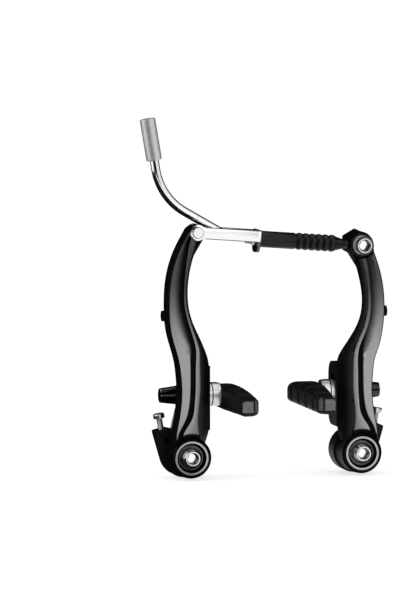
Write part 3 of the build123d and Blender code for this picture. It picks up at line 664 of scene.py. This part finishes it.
def pad_section(y):
    """Back, face, bottom and top of the pad at one station, and the radius of its shoulder."""
    end = min(y - near_y, far_y - y)
    back = back_x + back_taper * max(0.0, (abs(y - post_y) - back_flat) / back_run)
    face = face_x - max(0.0, end_bevel - end)
    drop, reach = (near_drop, near_reach) if y < post_y else (far_drop, far_reach)
    top = crown_z - drop * ((y - post_y) / reach) ** 2
    wall = min(abs(y - centre) for centre in slot_centres) - slot_half
    lip = quarter_round(wall, slot_lip) if wall >= 0 else slot_wrap
    face -= lip if wall >= 0 else slot_deep
    nip = quarter_round(end, end_round)
    shoulder = shoulder_round - shoulder_loss * max(0.0, (post_y - y) / near_reach)
    return back + nip, face - nip, bottom_z + lip + nip, top - lip / 2 - nip, shoulder


print("pad from", (back_x, near_y, bottom_z), "to", (face_x, far_y, crown_z), "with slots at", slot_centres)

# %% [markdown]
# The pad is then built ring by ring, with rings close together where an edge is rounded and on each side
# of every slot wall. The right pad is the left one mirrored, so the faces are turned outwards again at
# the end.

# %% Brake pads ring by ring
corner_steps = 7
length_steps = 60


def pad_ring(y):
    """Points round the pad at one station."""
    back, face, bottom, top, shoulder = pad_section(y)
    corners = [
        (face - shoulder, top - shoulder, shoulder, 0),
        (back + back_round_top, top - back_round_top, back_round_top, 90),
        (back + back_round_low, bottom + back_round_low, back_round_low, 180),
        (face - face_round_low, bottom + face_round_low, face_round_low, 270),
    ]
    points = []
    for centre_x, centre_z, round_r, turn_from in corners:
        for i in range(corner_steps + 1):
            angle = radians(turn_from + 90 * i / corner_steps)
            points.append((centre_x + round_r * cos(angle), y, centre_z + round_r * sin(angle)))
    return points


stations = [near_y + (far_y - near_y) * i / length_steps for i in range(1, length_steps)]
for inset in (0.0, 0.08, 0.2, 0.4, 0.6, 0.8):
    stations += [near_y + inset, far_y - inset]
for off_wall in (-0.01, 0.01, 0.08, 0.2, 0.4, 0.7, 0.9):
    stations += [c + way * (slot_half + off_wall) for c in slot_centres for way in (-1, 1)]
stations = sorted({round(station, 4) for station in stations})

for side, sign in (("left", 1), ("right", -1)):
    work = bmesh.new()
    rings = [[work.verts.new((sign * x * mm, y * mm, z * mm)) for x, y, z in pad_ring(s)] for s in stations]
    for low, high in zip(rings, rings[1:]):
        for i in range(len(low)):
            work.faces.new((low[i - 1], low[i], high[i], high[i - 1]))
    work.faces.new(rings[0])
    work.faces.new(rings[-1])
    bmesh.ops.recalc_face_normals(work, faces=work.faces)
    node = side + "_pad_block"
    plain = plain_mesh(node + "_skin", work, smooth_below=40, finish=finish_for(node))
    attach(as_piece(node + "_skin", plain, node), body_with[node])
    print(plain.name, len(plain.polygons), "faces")

# %% [markdown]
# The boot is a rubber bellows between the link and the cable anchor. When the arms close, the real one
# folds up like a concertina. Its piece is remade with smooth shading and given a mesh of its own.

# %% Boot
boot = remade("cable_boot", smooth_below=50)
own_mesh(boot)

# %% [markdown]
# What follows a path is made by Geometry Nodes. One class holds a tree with named inputs, runs it on a
# path of points and hands back a plain mesh, so that no modifier is left on a finished piece. Bevelled
# curves would sweep a round section too, but a tree keeps its sizes as inputs, and can do more than
# sweep.

# %% Geometry Nodes that follow a path


class Shape(Tree):
    """A Geometry Nodes tree with named inputs, which makes plain meshes."""

    def __init__(self, name, **inputs):
        super().__init__(bpy.data.node_groups.new(name, "GeometryNodeTree"))
        sockets = self.tree.interface
        sockets.new_socket("Geometry", in_out="OUTPUT", socket_type="NodeSocketGeometry")
        sockets.new_socket("path", in_out="INPUT", socket_type="NodeSocketGeometry")
        self.keys = {
            label: sockets.new_socket(label, in_out="INPUT", socket_type="NodeSocket" + kind).identifier
            for label, kind in inputs.items()
        }
        self.start = self.tree.nodes.new("NodeGroupInput")

    def given(self, label):
        return Value(self, self.start.outputs[label])

    def close(self, geometry):
        """Ends the tree with real geometry in the given material."""
        whole = self.node("GeometryNodeRealizeInstances", {}, {0: geometry})
        dressed = self.node("GeometryNodeSetMaterial", {}, {0: whole, 2: self.given("material")})
        self.tree.links.new(dressed.socket, self.tree.nodes.new("NodeGroupOutput").inputs[0])

    def mesh(self, name, points, **values):
        """Runs the tree on a path of points and returns a plain mesh."""
        path = bpy.data.meshes.new(name + "_path")
        path.from_pydata(points, [(i, i + 1) for i in range(len(points) - 1)], [])
        host = bpy.data.objects.new(name + "_path", path)
        bpy.context.scene.collection.objects.link(host)
        step = host.modifiers.new("make", "NODES")
        step.node_group = self.tree
        for label, value in values.items():
            step[self.keys[label]] = value
        made = bpy.data.meshes.new_from_object(host.evaluated_get(bpy.context.evaluated_depsgraph_get()))
        host.modifiers.remove(step)
        bpy.data.objects.remove(host)
        made.name = name
        return made


print("shapes ready")

# %% [markdown]
# The springs and the tube are round stock bent along a path. One tree makes them all: corner points
# become a curve, its corners are rounded to the bend, and a circle is swept along it. The tube is
# polished and stiff. Each spring starts in its fixed housing and ends in the moving arm; its piece stays
# where it is made.

# %% Tube and springs
stock = Shape("round_stock", bend="Float", radius="Float", sides="Int", material="Material")
route = stock.node("GeometryNodeMeshToCurve", {}, {0: stock.given("path")})
rounded = stock.node(
    "GeometryNodeFilletCurve",
    {"mode": "POLY"},
    {"Curve": route, "Count": 14, "Limit Radius": True, "Radius": stock.given("bend")},
)
section = stock.node(
    "GeometryNodeCurvePrimitiveCircle",
    {},
    {"Resolution": stock.given("sides"), "Radius": stock.given("radius")},
)
swept = stock.node(
    "GeometryNodeCurveToMesh", {}, {"Curve": rounded, "Profile Curve": section, "Fill Caps": True}
)
stock.close(stock.node("GeometryNodeSetShadeSmooth", {}, {0: swept}))

tube_points = [
    (-58.217, -16, 143.723), (-54.348, -16, 120.848), (-21.756, -16, 102.021), (-10.243, -16, 101.095)
]
tube = stock.mesh(
    "noodle_tube_skin",
    [Vector(point) * mm for point in tube_points],
    bend=28 * mm,
    radius=2.1 * mm,
    sides=40,
    material=finish_for("noodle_tube").material,
)
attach(as_piece("noodle_tube_skin", tube, "noodle_tube"), "noodle_body")
print("noodle_tube_skin", len(tube.polygons), "faces")

spring_points = [
    (-47.9, 3.6, 3.0), (-47.9, -1.6, 3.0), (-42.4, -1.6, 24),
    (-42.4, -1.6, 44), (-48.6, -14.6, 66), (-48.6, -14.6, 74),
]
for side, sign in (("left", 1), ("right", -1)):
    wire_points = [Vector((sign * x, y, z)) * mm for x, y, z in spring_points]
    node = side + "_return_spring"
    wire = stock.mesh(
        side + "_spring_skin",
        wire_points,
        bend=3 * mm,
        radius=0.85 * mm,
        sides=20,
        material=finish_for(node).material,
    )
    spring = as_piece(side + "_spring_skin", wire, node)
    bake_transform(spring)
    print(spring.name, len(wire.polygons), "faces")

# %% [markdown]
# The tension screws carry a fine thread. A helix is the plainest thing for Geometry Nodes to follow: a
# spiral curve, a small diamond swept along it for the ridge, and a core inside. A bump could only hint at
# it, and the screws stand free against the light, where the outline shows.

# %% Tree for a thread
thread = Shape(
    "screw_thread", turns="Float", length="Float", core="Float", ridge="Float", material="Material"
)
helix = thread.node(
    "GeometryNodeCurveSpiral",
    {},
    {
        "Resolution": 24,
        "Rotations": thread.given("turns"),
        "Start Radius": thread.given("core"),
        "End Radius": thread.given("core"),
        "Height": thread.given("length"),
    },
)
upright = thread.node("GeometryNodeSetCurveNormal", {"mode": "Z_UP"}, {0: helix})
diamond = thread.node(
    "GeometryNodeCurvePrimitiveCircle", {}, {"Resolution": 4, "Radius": thread.given("ridge")}
)
ridge = thread.node(
    "GeometryNodeCurveToMesh", {}, {"Curve": upright, "Profile Curve": diamond, "Fill Caps": True}
)
core = thread.node(
    "GeometryNodeMeshCylinder",
    {},
    {"Vertices": 32, "Radius": thread.given("core"), "Depth": thread.given("length")},
)
halfway = thread.node("ShaderNodeCombineXYZ", {}, {"Z": thread.given("length") * 0.5})
raised = thread.node("GeometryNodeTransform", {}, {"Geometry": core, "Translation": halfway})
both = thread.node("GeometryNodeJoinGeometry", {}, {0: ridge})
thread.tree.links.new(raised.socket, both.socket.node.inputs[0])
thread.close(both)
print("thread tree:", len(thread.tree.nodes), "nodes")

# %% [markdown]
# The head of each screw is the solid's own. Its plain shank is cut away below the head and the threaded
# one put in its place, turned to the way that the screw travels.

# %% Threaded tension screws
screw_seat = Vector((51.4, -5.2, 11.3)) * mm
thread_below_seat, head_above_seat = 8 * mm, 5.95 * mm
thread_length, thread_pitch = 14 * mm, 0.5 * mm

for side, sign in (("left", -1), ("right", 1)):
    node = side + "_tension_screw"
    screw_way = Vector(joints[side + "_tension_adjust"]["axis"])
    seat = Vector((sign * screw_seat.x, screw_seat.y, screw_seat.z))
    shank = thread.mesh(
        node + "_thread",
        [],
        turns=thread_length / thread_pitch,
        length=thread_length,
        core=1.27 * mm,
        ridge=0.23 * mm,
        material=finish_for(node).material,
    )
    turned_up = screw_way.to_track_quat("Z", "Y")
    shank.transform(Matrix.LocRotScale(seat - screw_way * thread_below_seat, turned_up, None))
    work = joined(node)
    below = [v for v in work.verts if (v.co - seat).dot(screw_way) < head_above_seat]
    bmesh.ops.delete(work, geom=below, context="VERTS")
    work.from_mesh(shank)
    skin = plain_mesh(node + "_skin", work, smooth_below=40, finish=finish_for(node))
    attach(as_piece(node + "_skin", skin, node), body_with[node])
    print(node, len(skin.polygons), "faces")

# %% [markdown]
# The stage is a pale floor under soft light. The floor glows a little, so that it stays near white in the
# picture and still takes the brake's shadow. More lamps would whiten it as well, but would bleach the
# bright metal.

# %% Floor
floor_z = cad_box[0][2] - 0.2 * mm
floor_half = 6.0
floor_corners = [
    (floor_half * x, floor_half * y, floor_z) for x, y in ((-1, -1), (1, -1), (1, 1), (-1, 1))
]
floor_mesh = bpy.data.meshes.new("floor")
floor_mesh.from_pydata(floor_corners, [], [(0, 1, 2, 3)])
floor = bpy.data.objects.new("floor", floor_mesh)
bpy.context.scene.collection.objects.link(floor)
pale = Finish("pale_floor", Roughness=0.9, Specular_IOR_Level=0.1, Emission_Strength=0.75)
pale_tone = pale.mix(pale.noise(30), grey(0.95), grey(0.965))
pale.feed(Base_Color=pale_tone, Emission_Color=pale_tone)
floor_mesh.materials.append(pale.material)
print("floor at", round(floor_z / mm, 1), "mm")

# %% [markdown]
# Polished metal is seen by what it mirrors. A product photographer stands dark cards round bright tubes,
# out of view, to give them dark edges and to keep black paint from turning grey. These cards do the same:
# upright flags at chosen bearings, counted from the front towards the right, and one that lies on the
# floor. They are seen only in reflections, so that they throw no shadow and darken no light.

# %% Dark cards
flag_cloth = Finish("flag_cloth", Roughness=1.0, Specular_IOR_Level=0.0)
flag_cloth.feed(Base_Color=flag_cloth.mix(flag_cloth.noise(90), grey(0.004), grey(0.006)))


def card(name, points, faces):
    """A dark card that is seen only in reflections."""
    sheet = bpy.data.meshes.new(name)
    sheet.from_pydata(points, [], faces)
    sheet.materials.append(flag_cloth.material)
    placed = bpy.data.objects.new(name, sheet)
    bpy.context.scene.collection.objects.link(placed)
    placed.visible_camera = placed.visible_shadow = placed.visible_diffuse = False


def flag(name, start, end, low, high=0.5, away=0.26, steps=8):
    """An upright card round the brake, from one bearing to the other."""
    bearings = [radians(start + (end - start) * i / steps) for i in range(steps + 1)]
    points = [(away * sin(b), -away * cos(b), z) for b in bearings for z in (low, high)]
    card(name, points, [(2 * i, 2 * i + 2, 2 * i + 3, 2 * i + 1) for i in range(steps)])


flag("right_front_flag", 36, 84, low=floor_z, high=85 * mm)
flag("right_back_flag", 84, 172, low=floor_z)
flag("left_front_flag", -12, -58, low=78 * mm)
flag("front_flag", 0, -12, low=96 * mm)
flag("left_back_flag", -108, -188, low=floor_z)
card_z = floor_z + 0.05 * mm
card_corners = [(-0.5, -0.4), (-0.03, -0.4), (-0.03, 0.25), (-0.5, 0.25)]
card("floor_card", [(x, y, card_z) for x, y in card_corners], [(0, 1, 2, 3)])
print("dark cards set")

# %% [markdown]
# The white of the background comes from the world, as the camera and the mirror-like surfaces see it, and
# the same world lights the brake only dimly. Three softboxes do the rest: one in front, one from the
# left, one above.

# %% Sky and softboxes
world = bpy.data.worlds.new("studio")
world.use_nodes = True
bpy.context.scene.world = world
sky = Tree(world.node_tree)
by_camera, by_gloss, by_glass = (
    sky.node("ShaderNodeLightPath", output="Is " + kind + " Ray")
    for kind in ("Camera", "Glossy", "Transmission")
)
sky_tone = sky.mix(by_camera.bigger(by_gloss).bigger(by_glass), grey(0.3), grey(1.0))
sky.tree.links.new(sky_tone.socket, sky.tree.nodes["Background"].inputs["Color"])
lit_centre = Vector((0, -0.01, 0.07))


def softbox(name, bearing, rise, away, width, tall, power):
    """An area light that faces the brake from a bearing, counted from the front towards the right."""
    b, r = radians(bearing), radians(rise)
    spot = lit_centre + away * Vector((sin(b) * cos(r), -cos(b) * cos(r), sin(r)))
    lamp = bpy.data.lights.new(name, "AREA")
    lamp.shape = "RECTANGLE"
    lamp.size, lamp.size_y, lamp.energy = width, tall, power
    box = bpy.data.objects.new(name, lamp)
    box.matrix_world = Matrix.LocRotScale(spot, (spot - lit_centre).to_track_quat("Z", "Y"), None)
    bpy.context.scene.collection.objects.link(box)


softbox("front_softbox", bearing=16, rise=20, away=1.0, width=0.5, tall=0.5, power=0.5)
softbox("left_softbox", bearing=-84, rise=16, away=0.9, width=0.4, tall=0.6, power=1.5)
softbox("top_softbox", bearing=0, rise=80, away=1.0, width=0.9, tall=0.9, power=0.9)
print("lights:", [lamp.name for lamp in bpy.data.lights])
